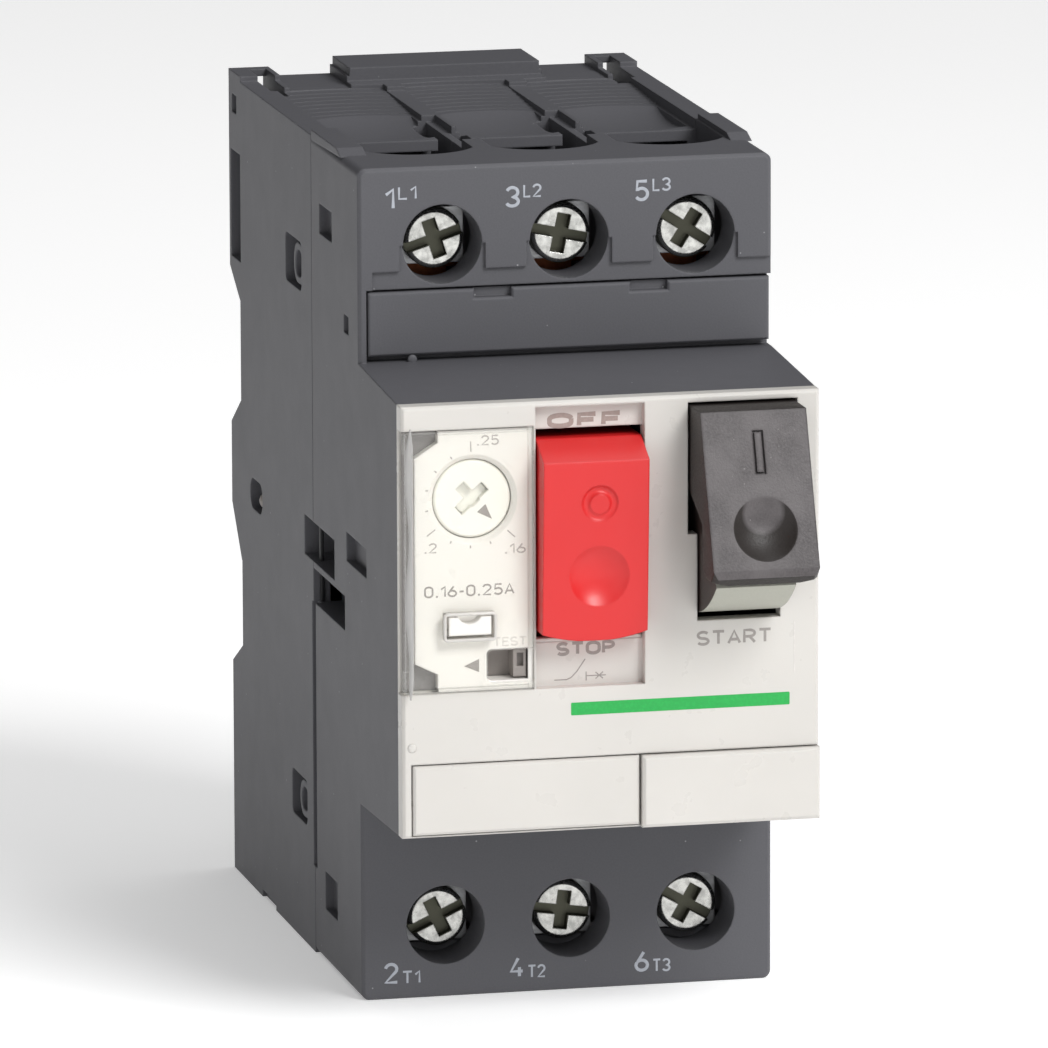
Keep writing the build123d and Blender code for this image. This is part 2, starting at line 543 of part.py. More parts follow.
def terminal_screw(x, z, turn):
    """Clamp screw with a combined cross and slot drive."""
    head = chamfer(rod_y(x, z, HEAD_TOP, HEAD_TOP + HEAD_H, HEAD_R).edges().sort_by(Axis.Y)[0], 0.45)
    screw = head + rod_y(x, z, HEAD_TOP + HEAD_H - 0.1, -45.4, SCREW_R)
    for angle, length, width in ((turn, 7.0, 1.1), (turn + 90, 4.2, 1.5)):
        screw = screw - Pos(x, HEAD_TOP + 0.4, z) * Rot(0, angle, 0) * Box(length, 1.6, width)
    return screw


def pressure_plate(x, z):
    """Captive plate that presses the wire on the clamp bar."""
    back = HEAD_TOP + HEAD_H
    plate = block(x - 3.6, x + 3.6, back, back + PLATE_T, z - 3.0, z + 3.0)
    return plate - rod_y(x, z, -60, -40, SCREW_R + 0.1)


def arc_chutes():
    """Splitter plates between two fibre cheeks, one stack behind each pole's contacts."""
    stacks = []
    for x in POLES:
        stack = block(x - 5.0, x - 4.4, -36.8, -12.0, 8.0, 27.0) + block(x + 4.4, x + 5.0, -36.8, -12.0, 8.0, 27.0)
        for i in range(9):
            y = -36.0 + 2.6 * i
            stack = stack + block(x - 4.5, x + 4.5, y, y + 0.8, 9.0, 26.0)
        stacks.append(stack)
    return Compound(children=stacks)


def trip_coil(x):
    """Magnetic trip coil: a ribbed winding on a bobbin."""
    coil = rod_z(x, -24, -13, 2.6, 4.6)
    for z in (-13.0, 1.6):
        coil = coil + block(x - 5.0, x + 5.0, -29, -19, z, z + 1.0)
    for i in range(6):
        coil = coil + rod_z(x, -24, -11.4 + 2.1 * i, -10.0 + 2.1 * i, 4.9)
    return coil - rod_z(x, -24, -20, 10, 2.5)


def trip_plunger(x):
    """Iron plunger inside the coil, with a striker pin."""
    return rod_z(x, -24, -10, 1.0, 2.42) + rod_z(x, -24, -17.4, -9.5, 1.0)


def bimetal(x):
    return block(x - 2.4, x + 2.4, -13.2, -12.4, -31.4, -14.0)


def heater_windings():
    """Heater wound round each bimetal strip."""
    group = []
    for x in POLES:
        sleeve = block(x - 3.0, x + 3.0, -14.4, -11.2, -28.0, -22.8)
        for i in range(3):
            sleeve = sleeve + block(x - 3.4, x + 3.4, -14.8, -10.8, -27.6 + 1.8 * i, -26.8 + 1.8 * i)
        group.append(sleeve - block(x - 2.5, x + 2.5, -13.3, -12.3, -40, 0))
    return Compound(children=group)


def trip_bar():
    """Shaft with one finger for each pole and an arm to the test slider."""
    bar = rod_x(TRIP_Y, TRIP_Z, -INNER - 0.7, INNER + 0.7, TRIP_R)
    for x in POLES:
        bar = bar + block(x - 2.0, x + 2.0, TRIP_Y, -14.4, TRIP_Z - 0.6, TRIP_Z + 0.6)
        bar = bar + block(x - 2.0, x + 2.0, -15.2, -14.4, TRIP_Z, TRIP_Z + 4.0)
    arm = [(TRIP_Y, -20.9), (-58, -17.2), (-76.4, -8.6), (-76.4, -6.0), (-58, -15.0), (TRIP_Y, -19.1)]
    return bar + side_prism(arm, -15.4, -13.8)


# Rail latch

def rail_latch():
    """Sliding latch that grips the lower lip of the rail."""
    latch = block(-LATCH_HALF, LATCH_HALF, 1.3, 4.3, -43.9, -18.6)
    hook = [(1.4, -19.0), (1.4, -HOOK_Z), (2.4, -HOOK_Z), (4.3, -18.6), (4.3, -19.0)]
    latch = latch + side_prism(hook, -LATCH_HALF, LATCH_HALF)
    latch = latch - block(-7.0, 7.0, 3.4, 5, -40.0, -26.0)
    latch = latch - block(-2.4, 2.4, 0.5, 2.2, -41.6, -28.5)
    return latch - block(-3.5, 3.5, 1, 5, -42.9, -41.9)


def rail_latch_spring():
    return Pos(0, 0.5, -41.2) * spring(1.2, 0.3, 12.4, 7)


os.makedirs("parts", exist_ok=True)

NODES = {
    "rear_base": rear_base(),
    "main_housing": main_housing(),
    "case_screws": case_screws(),
    "blanking_panel": blanking_panel(),
    "front_cover": front_cover(),
    "setting_label_plate": setting_label_plate(),
    "seal_tab": seal_tab(),
    "transparent_cover": transparent_cover(),
    "setting_dial": setting_dial(),
    "test_slider": test_slider(),
    "label_holder": label_holder(),
    "aux_slot_cover": aux_slot_cover(),
    "start_cap": start_cap(),
    "start_rocker": start_rocker(),
    "stop_button": stop_button(),
    "button_pivot_pin": button_pivot_pin(),
    "mechanism_frame": mechanism_frame(),
    "toggle_lever": toggle_lever(),
    "toggle_pin": toggle_pin(),
    "contact_carrier": contact_carrier(),
    "contact_springs": contact_springs(),
    "arc_chutes": arc_chutes(),
    "heater_windings": heater_windings(),
    "trip_bar": trip_bar(),
    "rail_latch": rail_latch(),
    "rail_latch_spring": rail_latch_spring(),
}
HEAD_TURNS = (-18, 12, 33, -25, 8, 30)
for i, x in enumerate(POLES):
    n = i + 1
    NODES[f"line_terminal_{n}"] = line_terminal(x)
    NODES[f"load_terminal_{n}"] = load_terminal(x)
    NODES[f"load_contact_{n}"] = load_contact(x)
    NODES[f"moving_contact_{n}"] = moving_contact(x)
    NODES[f"trip_coil_{n}"] = trip_coil(x)
    NODES[f"trip_plunger_{n}"] = trip_plunger(x)
    NODES[f"bimetal_{n}"] = bimetal(x)
    NODES[f"line_screw_{n}"] = terminal_screw(x, LINE_Z, HEAD_TURNS[i])
    NODES[f"load_screw_{n}"] = terminal_screw(x, LOAD_Z, HEAD_TURNS[i + 3])
    NODES[f"line_clamp_{n}"] = pressure_plate(x, LINE_Z)
    NODES[f"load_clamp_{n}"] = pressure_plate(x, LOAD_Z)

for name, shape in NODES.items():
    export_step(shape, f"parts/{name}.step")
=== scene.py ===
"""Looks of the three-pole motor protection breaker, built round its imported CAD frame.

Everything is in metres, in the frame of the CAD model: +Z up, +X to the right, the front faces -Y.
"""
from math import cos, pi, radians, sin

import bmesh
import bpy
from mathutils import Matrix, Vector


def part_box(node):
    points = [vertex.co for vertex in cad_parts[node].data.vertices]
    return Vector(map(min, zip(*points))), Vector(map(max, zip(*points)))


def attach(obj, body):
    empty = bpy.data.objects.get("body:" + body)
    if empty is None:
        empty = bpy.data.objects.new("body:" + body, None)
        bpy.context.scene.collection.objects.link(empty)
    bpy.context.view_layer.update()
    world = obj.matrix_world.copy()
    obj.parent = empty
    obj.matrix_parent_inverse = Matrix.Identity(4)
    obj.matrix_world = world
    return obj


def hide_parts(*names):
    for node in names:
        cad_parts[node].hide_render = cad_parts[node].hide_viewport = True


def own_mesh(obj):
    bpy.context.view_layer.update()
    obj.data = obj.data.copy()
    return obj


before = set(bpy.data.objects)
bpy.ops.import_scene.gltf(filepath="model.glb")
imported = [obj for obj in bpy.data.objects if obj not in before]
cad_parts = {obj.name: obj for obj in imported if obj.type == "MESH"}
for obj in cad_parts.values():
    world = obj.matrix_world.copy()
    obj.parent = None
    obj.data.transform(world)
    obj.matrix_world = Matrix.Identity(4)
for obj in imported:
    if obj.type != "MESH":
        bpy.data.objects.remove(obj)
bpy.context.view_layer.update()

MM = 0.001
INK = 0.014 * MM
SCENE = bpy.context.scene

# Places read from the frame
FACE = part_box("front_cover")[0].y
CHANNEL = FACE + 1.2 * MM
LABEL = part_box("setting_label_plate")[0].y
BLOCK_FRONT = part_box("blanking_panel")[0].y
DIAL_LOW, DIAL_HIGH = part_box("setting_dial")
DIAL_FACE = DIAL_LOW.y
DIAL_R = 4.1 * MM
DIAL_Z = DIAL_HIGH.z - DIAL_R
DIAL_X = DIAL_HIGH.x - DIAL_R
COVER_LOW, COVER_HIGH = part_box("transparent_cover")
TAB_LOW, TAB_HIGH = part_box("seal_tab")
SCREW_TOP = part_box("line_screw_1")[0].y
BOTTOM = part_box("rear_base")[0].z
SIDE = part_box("main_housing")[1].x
SEAM = (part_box("main_housing")[1].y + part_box("rear_base")[0].y) / 2
SPRING_LOW, SPRING_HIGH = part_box("rail_latch_spring")


# Colours

def linear(red, green, blue):
    """A scene colour from an sRGB one, 0 to 255."""
    parts = [c / 255 for c in (red, green, blue)]
    return tuple(p / 12.92 if p < 0.04045 else ((p + 0.055) / 1.055) ** 2.4 for p in parts) + (1.0,)


def shaded(colour, share, lift=0.0):
    """A scene colour made darker or lighter."""
    return tuple(min(1.0, c * share + lift) for c in colour[:3]) + (1.0,)


# Materials

class Shader:
    """A material's node tree, with short ways to add nodes to it."""

    def __init__(self, name):
        self.material = bpy.data.materials.new(name)
        self.material.use_nodes = True
        self.tree = self.material.node_tree
        self.surface = self.tree.nodes["Principled BSDF"]
        self.place = self.add("ShaderNodeTexCoord").outputs["Object"]

    def add(self, kind, **settings):
        node = self.tree.nodes.new(kind)
        for key, value in settings.items():
            setattr(node, key, value)
        return node

    def link(self, source, target):
        self.tree.links.new(source, target)

    def set(self, socket, value):
        """One value all over the surface."""
        self.surface.inputs[socket].default_value = value

    def drive(self, socket, source):
        """A value that changes over the surface."""
        self.link(source, self.surface.inputs[socket])

    def noise(self, size, detail=2.0, rough=0.5, stretch=(1, 1, 1)):
        """Noise whose features are about size metres across."""
        scaled = self.add("ShaderNodeMapping")
        scaled.inputs["Scale"].default_value = stretch
        self.link(self.place, scaled.inputs["Vector"])
        node = self.add("ShaderNodeTexNoise")
        node.inputs["Scale"].default_value = 1 / size
        node.inputs["Detail"].default_value = detail
        node.inputs["Roughness"].default_value = rough
        self.link(scaled.outputs["Vector"], node.inputs["Vector"])
        return node.outputs["Fac"]

    def dots(self, spacing, radius):
        """1 in small scattered dots, 0 elsewhere."""
        node = self.add("ShaderNodeTexVoronoi")
        node.inputs["Scale"].default_value = 1 / spacing
        self.link(self.place, node.inputs["Vector"])
        return self.span(node.outputs["Distance"], radius / spacing, 0.5 * radius / spacing)

    def span(self, value, low, high, to_low=0.0, to_high=1.0):
        """value from low..high to to_low..to_high, clamped."""
        node = self.add("ShaderNodeMapRange")
        for key, number in zip(("From Min", "From Max", "To Min", "To Max"), (low, high, to_low, to_high)):
            node.inputs[key].default_value = number
        self.link(value, node.inputs["Value"])
        return node.outputs["Result"]

    def maths(self, operation, a, b):
        node = self.add("ShaderNodeMath", operation=operation)
        for socket, value in zip(node.inputs, (a, b)):
            if isinstance(value, (int, float)):
                socket.default_value = value
            else:
                self.link(value, socket)
        return node.outputs[0]

    def mix(self, factor, a, b):
        """Colour a where factor is 0 and b where it is 1."""
        node = self.add("ShaderNodeMix", data_type="RGBA")
        self.link(factor, node.inputs["Factor"])
        for socket, value in ((node.inputs[6], a), (node.inputs[7], b)):
            if isinstance(value, tuple):
                socket.default_value = value
            else:
                self.link(value, socket)
        return node.outputs[2]

    def axis(self, name):
        """One coordinate of the place, in metres."""
        node = self.add("ShaderNodeSeparateXYZ")
        self.link(self.place, node.inputs[0])
        return node.outputs[name]

    def facing(self, name, low, high):
        """0 to 1 as the surface's own normal along an axis goes from low to high."""
        node = self.add("ShaderNodeSeparateXYZ")
        self.link(self.add("ShaderNodeTexCoord").outputs["Normal"], node.inputs[0])
        return self.span(self.maths("ABSOLUTE", node.outputs[name], 0), low, high)

    def soft_edges(self, radius):
        """The normal with every edge rounded to that radius."""
        node = self.add("ShaderNodeBevel", samples=4)
        node.inputs["Radius"].default_value = radius
        return node.outputs["Normal"]

    def worn_edges(self, normal):
        """1 on sharp edges, 0 on flat faces."""
        flat = self.add("ShaderNodeNewGeometry").outputs["Normal"]
        dot = self.add("ShaderNodeVectorMath", operation="DOT_PRODUCT")
        self.link(normal, dot.inputs[0])
        self.link(flat, dot.inputs[1])
        return self.span(dot.outputs["Value"], 0.995, 0.85)

    def relief(self, heights, normal=None):
        """Bumps on one another: (height, depth in metres) pairs."""
        for height, depth in heights:
            bump = self.add("ShaderNodeBump")
            bump.inputs["Distance"].default_value = depth
            self.link(height, bump.inputs["Height"])
            if normal is not None:
                self.link(normal, bump.inputs["Normal"])
            normal = bump.outputs["Normal"]
        self.drive("Normal", normal)

    def see_through(self, solid, tint):
        """Lets what is behind show through, except for the given solid share."""
        clear = self.add("ShaderNodeBsdfTransparent")
        clear.inputs["Color"].default_value = tint
        blend = self.add("ShaderNodeMixShader")
        self.link(solid, blend.inputs[0])
        self.link(clear.outputs[0], blend.inputs[1])
        self.link(self.surface.outputs[0], blend.inputs[2])
        self.link(blend.outputs[0], self.tree.nodes["Material Output"].inputs["Surface"])


def moulded(name, colour, roughness, shade=0.03, edge=0.22, specks=0.0, flank_shade=None):
    """Moulded plastic: fine grain, faint changes of shade, lighter edges and small specks.

    The faces turned left and right may be painted darker in a colour of their own: painted shade.
    """
    s = Shader(name)
    base = linear(*colour)
    bright = shaded(base, 1.5, 0.03)
    tint = s.mix(s.span(s.noise(0.03, 3.0), 0.35, 0.65), shaded(base, 1 - shade), shaded(base, 1 + shade))
    fine = s.noise(0.00020, 2.0)
    tint = s.mix(s.span(fine, 0.3, 0.7, 0.0, 0.10), tint, bright)
    normal = s.soft_edges(0.00025)
    tint = s.mix(s.maths("MULTIPLY", s.worn_edges(normal), edge), tint, bright)
    if specks:
        dots = s.maths("MULTIPLY", s.dots(0.0028, 0.00011), specks)
        tint = s.mix(dots, tint, linear(190, 190, 192))
    # painted shade: faces turned left or right take the darker side colour
    if flank_shade:
        tint = s.mix(s.facing("X", 0.5, 0.8), tint, linear(*flank_shade))
    s.drive("Base Color", tint)
    s.drive("Roughness", s.span(s.noise(0.004, 3.0), 0.3, 0.7, roughness - 0.015, roughness + 0.02))
    s.set("Specular IOR Level", 0.25)
    s.relief([(fine, 0.000010)], normal)
    return s.material


def granular(name, colour):
    """The start button's coarse grain with small painted glints, and painted shade on the faces that don't
    face the front.
    """
    s = Shader(name)
    base = linear(*colour)
    fine = s.noise(0.00024, 3.0, 0.65)
    tint = s.mix(s.span(fine, 0.35, 0.65), shaded(base, 0.85), shaded(base, 1.15))
    # painted glints: small dots of lighter colour
    glints = s.maths("MULTIPLY", s.dots(0.0011, 0.00009), 0.45)
    tint = s.mix(glints, tint, linear(175, 172, 170))
    worn = s.mix(s.span(s.noise(0.004, 3.0), 0.40, 0.66), tint, shaded(base, 1.3, 0.01))
    # painted shade: every face that doesn't face the front is dark, as if in shadow
    s.drive("Base Color", s.mix(s.facing("Y", 0.90, 0.94), linear(36, 31, 29), worn))
    s.drive("Roughness", s.span(fine, 0.3, 0.7, 0.52, 0.38))
    s.set("Specular IOR Level", 0.35)
    s.relief([(fine, 0.00003)], s.soft_edges(0.0004))
    return s.material


def glossy(name, colour, roughness, subsurface=0.0):
    """Smooth glossy plastic with a faint ripple and slightly uneven shine."""
    s = Shader(name)
    base = linear(*colour)
    s.drive("Base Color", s.mix(s.span(s.noise(0.012, 2.0), 0.3, 0.7), shaded(base, 0.965), base))
    s.drive("Roughness", s.span(s.noise(0.003, 4.0), 0.3, 0.7, roughness - 0.04, roughness + 0.06))
    s.set("Subsurface Weight", subsurface)
    s.set("Subsurface Radius", (1.0, 0.8, 0.6))
    s.set("Subsurface Scale", 0.0008)
    s.relief([(s.noise(0.009, 1.0), 0.00002), (s.noise(0.0003, 1.0), 0.000002)], s.soft_edges(0.0003))
    return s.material


def metal(name, colour, roughness, grain=0.0004, stretch=(1, 1, 1), tarnish=0.2, recess=None):
    """Plated or rolled metal with fine marks; behind the recess depth it is dark and dull."""
    s = Shader(name)
    base = linear(*colour)
    marks = s.noise(grain, 4.0, 0.6, stretch)
    tint = s.mix(s.span(marks, 0.35, 0.65), shaded(base, 1 - tarnish), base)
    rough = s.span(marks, 0.3, 0.7, roughness + 0.1, roughness - 0.06)
    if recess is not None:
        deep = s.span(s.axis("Y"), recess + 0.15 * MM, recess + 0.45 * MM)
        tint = s.mix(deep, tint, linear(84, 84, 74))
        rough = s.maths("MAXIMUM", rough, s.maths("MULTIPLY", deep, 0.45))
    s.drive("Base Color", tint)
    s.set("Metallic", 1.0)
    s.drive("Roughness", rough)
    s.relief([(marks, 0.000012)], s.soft_edges(0.00015))
    return s.material


def clear(name, tint, haze):
    """Clear moulded plastic: it mirrors a little and is hazier at its edges."""
    s = Shader(name)
    s.set("Base Color", linear(226, 226, 224))
    s.drive("Roughness", s.span(s.noise(0.004, 2.0), 0.3, 0.7, 0.05, 0.12))
    edge = s.span(s.facing("Y", 0.3, 0.9), 1.0, 0.0, haze, haze + 0.12)
    slant = s.add("ShaderNodeLayerWeight")
    slant.inputs["Blend"].default_value = 0.5
    mirror = s.span(s.maths("POWER", slant.outputs["Facing"], 5), 0.0, 1.0, 0.025, 0.6)
    s.see_through(s.maths("ADD", mirror, edge), linear(*tint))
    s.relief([(s.noise(0.007, 1.0), 0.00006)])
    return s.material


def printed(name, colour):
    """Pad-printed ink, a little uneven."""
    s = Shader(name)
    base = linear(*colour)
    s.drive("Base Color", s.mix(s.span(s.noise(0.0003, 3.0), 0.45, 0.75), base, shaded(base, 1.15)))
    s.drive("Roughness", s.span(s.noise(0.001, 2.0), 0.3, 0.7, 0.42, 0.58))
    return s.material


DARK = moulded("dark_plastic", (84, 84, 88), 0.50, shade=0.02, specks=0.5)
DARKER = moulded("inner_black_plastic", (34, 34, 36), 0.5)
WHITE = glossy("white_plastic", (202, 199, 194), 0.30, 0.05)
PLATE = glossy("label_plastic", (228, 225, 220), 0.30, 0.05)
DIAL = glossy("dial_plastic", (235, 234, 226), 0.30, 0.05)
POCKET = glossy("shaded_plastic", (132, 129, 128), 0.25)
# the rocker's left and right faces carry painted shade
GREY = moulded("grey_plastic", (166, 166, 156), 0.42, edge=0.1, flank_shade=(52, 44, 41))
SLIDER = moulded("slider_plastic", (140, 134, 130), 0.42, edge=0.2)
BLACK = granular("start_plastic", (78, 74, 75))
RED = glossy("red_plastic", (205, 35, 36), 0.36, 0.05)
CLEAR = clear("clear_plastic", (254, 254, 253), 0.0)
HAZY = clear("hazy_plastic", (205, 202, 202), 0.35)
SCREW = metal("zinc_screw", (200, 200, 196), 0.24, 0.0008, tarnish=0.3, recess=SCREW_TOP)
STEEL = metal("rolled_steel", (165, 166, 168), 0.35, 0.0008, (0.2, 1, 1))
COPPER = metal("copper", (205, 125, 90), 0.35, 0.0008)
BRASS = metal("brass", (200, 165, 95), 0.35, 0.0008)
INK_DARK = printed("ink_on_dark", (160, 164, 172))
INK_WHITE = printed("ink_on_white", (146, 141, 137))
INK_SCALE = printed("ink_of_scale", (168, 163, 159))
INK_FAINT = printed("ink_faint", (198, 194, 190))
INK_TAUPE = printed("ink_taupe", (150, 137, 131))
GREEN = printed("green_stripe", (28, 158, 70))

PLAIN = {
    "rear_base": DARK, "main_housing": DARK, "blanking_panel": DARK, "front_cover": WHITE,
    "setting_label_plate": PLATE, "seal_tab": PLATE, "transparent_cover": CLEAR, "setting_dial": DIAL,
    "test_slider": SLIDER, "label_holder": WHITE, "aux_slot_cover": WHITE, "start_cap": BLACK,
    "start_rocker": GREY, "stop_button": RED, "button_pivot_pin": STEEL, "mechanism_frame": STEEL,
    "toggle_lever": DARKER, "toggle_pin": STEEL, "contact_carrier": DARKER, "contact_springs": STEEL,
    "arc_chutes": STEEL, "heater_windings": COPPER, "trip_bar": DARKER, "rail_latch": DARKER,
    "rail_latch_spring": STEEL, "case_screws": STEEL,
}
BY_POLE = {
    "line_terminal": COPPER, "load_terminal": COPPER, "load_contact": COPPER, "moving_contact": BRASS,
    "trip_coil": COPPER, "trip_plunger": STEEL, "bimetal": STEEL, "line_screw": SCREW, "load_screw": SCREW,
    "line_clamp": STEEL, "load_clamp": STEEL,
}
for name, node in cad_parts.items():
    finish = PLAIN.get(name) or BY_POLE[name.rsplit("_", 1)[0]]
    node.data.materials.clear()
    node.data.materials.append(finish)


# Shapes: each is made in XY about its own origin with its front towards +Z

def place(name, mesh, material, body):
    """A new piece, riding on a CAD body."""
    mesh.materials.clear()
    mesh.materials.append(material)
    mesh.polygons.foreach_set("use_smooth", [True] * len(mesh.polygons))
    mesh.set_sharp_from_angle(angle=radians(35))
    piece = bpy.data.objects.new(name, mesh)
    SCENE.collection.objects.link(piece)
    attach(piece, body)
    return piece


def on_front(mesh, x, y, z):
    """Turns a shape to face the front."""
    mesh.transform(Matrix.Translation((x, y, z)) @ Matrix.Rotation(pi / 2, 4, "X"))
    return mesh


def on_side(mesh, side, x, y, z):
    """Turns a shape to face the left (side -1) or the right (side 1)."""
    turn = Matrix(((0, 0, side), (side, 0, 0), (0, 1, 0))).to_4x4()
    mesh.transform(Matrix.Translation((x, y, z)) @ turn)
    return mesh


def loop(width, height, corner, steps=6):
    """Points round a rounded rectangle."""
    points = []
    for quarter, (sx, sy) in enumerate(((1, 1), (-1, 1), (-1, -1), (1, -1))):
        for i in range(steps + 1):
            angle = pi / 2 * (quarter + i / steps)
            points.append((sx * (width / 2 - corner) + corner * cos(angle),
                           sy * (height / 2 - corner) + corner * sin(angle)))
    return points


def skin(outlines, closed=False):
    """A mesh over outlines of equal length in space; capped unless closed on itself."""
    shape = bmesh.new()
    rows = [[shape.verts.new(point) for point in outline] for outline in outlines]
    count = len(rows[0])
    pairs = list(zip(rows, rows[1:] + rows[:1])) if closed else list(zip(rows, rows[1:]))
    for low, high in pairs:
        for i in range(count):
            j = (i + 1) % count
            shape.faces.new((low[i], low[j], high[j], high[i]))
    if not closed:
        shape.faces.new(rows[0])
        shape.faces.new(rows[-1])
    bmesh.ops.recalc_face_normals(shape, faces=shape.faces)
    mesh = bpy.data.meshes.new("shape")
    shape.to_mesh(mesh)
    shape.free()
    return mesh


def loft(stations, closed=False):
    """A skin over flat loops, each given with its height."""
    return skin([[(x, y, rise) for x, y in points] for points, rise in stations], closed)


def ring(width, height, corner, section):
    """A frame round a rounded rectangle; its section is (outset, rise) points."""
    return loft([(loop(width + 2 * out, height + 2 * out, corner + out), rise) for out, rise in section], True)


def stud(section):
    """A round turned shape; its section is (radius, rise) points."""
    return loft([(loop(2 * r, 2 * r, r), rise) for r, rise in section])


def sheet(points):
    """A printed area."""
    return loft([(points, -INK), (points, INK)])


def strokes(paths, width):
    """Printed lines of one width along the paths."""
    curve = bpy.data.curves.new("strokes", "CURVE")
    curve.dimensions = "3D"
    curve.bevel_depth = width / 2
    curve.bevel_resolution = 2
    curve.use_fill_caps = True
    for path in paths:
        spline = curve.splines.new("POLY")
        spline.points.add(len(path) - 1)
        for point, (x, y) in zip(spline.points, path):
            point.co = (x, y, 0, 1)
    holder = bpy.data.objects.new("strokes", curve)
    SCENE.collection.objects.link(holder)
    bpy.context.view_layer.update()
    mesh = bpy.data.meshes.new_from_object(holder.evaluated_get(bpy.context.evaluated_depsgraph_get()))
    bpy.data.objects.remove(holder)
    mesh.transform(Matrix.Diagonal((1, 1, 2 * INK / width, 1)))
    return mesh


# Letters, drawn as strokes one unit high

def bow(x, y, rx, ry, start, end):
    """Points along an ellipse, in degrees from its right end, anticlockwise."""
    steps = max(2, round(abs(end - start) / 18))
    angles = [radians(start + (end - start) * i / steps) for i in range(steps + 1)]
    return [(x + rx * cos(a), y + ry * sin(a)) for a in angles]


def oval(width):
    """A closed O with straight sides."""
    r = width / 2
    top = bow(r, 1 - r, r, r, 0, 180)
    return [top + bow(r, r, r, r, 180, 360) + top[:1]]


P_BOWL = [(0, 0), (0, 1), (0.28, 1)] + bow(0.28, 0.74, 0.27, 0.26, 90, -90) + [(0, 0.48)]
GLYPHS = {
    "0": oval(0.54), "O": oval(0.66),
    "1": [[(0, 0.72), (0.28, 1), (0.28, 0)]],
    "2": [bow(0.27, 0.73, 0.27, 0.27, 170, -40) + [(0, 0), (0.56, 0)]],
    "3": [bow(0.27, 0.74, 0.26, 0.26, 160, -90) + bow(0.27, 0.24, 0.28, 0.24, 90, -160)],
    "4": [[(0.36, 1), (0, 0.28), (0.58, 0.28)], [(0.42, 0.5), (0.42, 0)]],
    "5": [[(0.52, 1), (0.08, 1), (0.04, 0.54)] + bow(0.27, 0.31, 0.28, 0.31, 125, -150)],
    "6": [[(0.38, 1), (0.06, 0.44)] + bow(0.28, 0.28, 0.28, 0.28, 145, -215)],
    "A": [[(0, 0), (0.3, 1), (0.6, 0)], [(0.1, 0.3), (0.5, 0.3)]],
    "E": [[(0.5, 1), (0, 1), (0, 0), (0.5, 0)], [(0, 0.52), (0.44, 0.52)]],
    "F": [[(0.5, 1), (0, 1), (0, 0)], [(0, 0.5), (0.44, 0.5)]],
    "L": [[(0, 1), (0, 0), (0.46, 0)]],
    "P": [P_BOWL],
    "R": [P_BOWL, [(0.28, 0.48), (0.56, 0)]],
    "S": [bow(0.28, 0.74, 0.27, 0.26, 30, 270) + bow(0.28, 0.24, 0.28, 0.24, 90, -155)],
    "T": [[(0, 1), (0.6, 1)], [(0.3, 1), (0.3, 0)]],
    ".": [[(0, 0.02), (0.14, 0.02)]],
    "-": [[(0, 0.44), (0.3, 0.44)]],
}
LETTER_GAP = 0.24


def lettering(text, low, high, width):
    """Letters whose ink fills the box from low to high."""
    paths, start = [], 0.0
    for letter in text:
        glyph = [[(start + x, y) for x, y in path] for path in GLYPHS[letter]]
        paths += glyph
        start = max(x for path in glyph for x, _ in path) + LETTER_GAP
    total = start - LETTER_GAP
    across = (high[0] - low[0] - width) / total
    up = high[1] - low[1] - width
    left, foot = low[0] + width / 2, low[1] + width / 2
    return strokes([[(left + x * across, foot + y * up) for x, y in path] for path in paths], width)


def legend(name, text, x, z, y, width, material, body="housing"):
    """Letters on a front face; x and z give their lowest and highest, in millimetres."""
    mesh = lettering(text, (x[0] * MM, z[0] * MM), (x[1] * MM, z[1] * MM), width * MM)
    return place(name, on_front(mesh, 0, y, 0), material, body)


def mm(points):
    """Points given in millimetres."""
    return [(x * MM, y * MM) for x, y in points]


# Legends

TERMINALS = {
    "1": ("L1", -19.4, 40.1), "3": ("L2", -6.5, 39.8), "5": ("L3", 7.4, 39.9),
    "2": ("T1", -19.9, -42.8), "4": ("T2", -6.3, -42.9), "6": ("T3", 7.3, -43.0),
}
for number, (short, x, z) in TERMINALS.items():
    wide = 1.1 if number == "1" else 1.6
    legend(f"legend_{number}", number, (x, x + wide), (z, z + 2.3), BLOCK_FRONT, 0.34, INK_DARK)
    small = z + 1.0 if short.startswith("L") else z - 0.1
    legend(f"legend_{short}", short, (x + wide + 0.35, x + wide + 2.35), (small, small + 1.45), BLOCK_FRONT,
           0.22, INK_DARK)

legend("legend_OFF", "OFF", (-6.5, 1.5), (19.75, 21.4), CHANNEL, 0.52, INK_TAUPE)
legend("legend_STOP", "STOP", (-5.6, 0.7), (-4.3, -2.8), CHANNEL, 0.36, INK_WHITE)
legend("legend_START", "START", (9.1, 17.2), (-3.7, -2.1), FACE, 0.30, INK_WHITE)
legend("legend_range", "0.16-0.25A", (-19.8, -10.2), (2.7, 3.95), LABEL, 0.20, INK_WHITE)
legend("legend_25", ".25", (-14.2, -11.8), (18.5, 19.6), LABEL, 0.17, INK_SCALE)
legend("legend_2", ".2", (-19.8, -18.4), (7.4, 8.5), LABEL, 0.17, INK_SCALE)
legend("legend_16", ".16", (-11.3, -9.0), (7.0, 8.1), LABEL, 0.17, INK_SCALE)
legend("legend_TEST", "TEST", (-12.5, -8.9), (-2.75, -1.75), LABEL, 0.17, INK_FAINT)

# scale round the dial: ten ticks, with longer ones at the numbers
for i in range(10):
    angle = radians(92 + 25 * i)
    near, far, wide = (5.0, 6.1, 0.14) if i in (0, 5, 9) else (4.85, 5.15, 0.16)
    ends = [(r * MM * cos(angle), r * MM * sin(angle)) for r in (near, far)]
    tick = strokes([ends], wide * MM)
    place(f"scale_tick_{i}", on_front(tick, DIAL_X, LABEL, DIAL_Z), INK_SCALE, "housing")

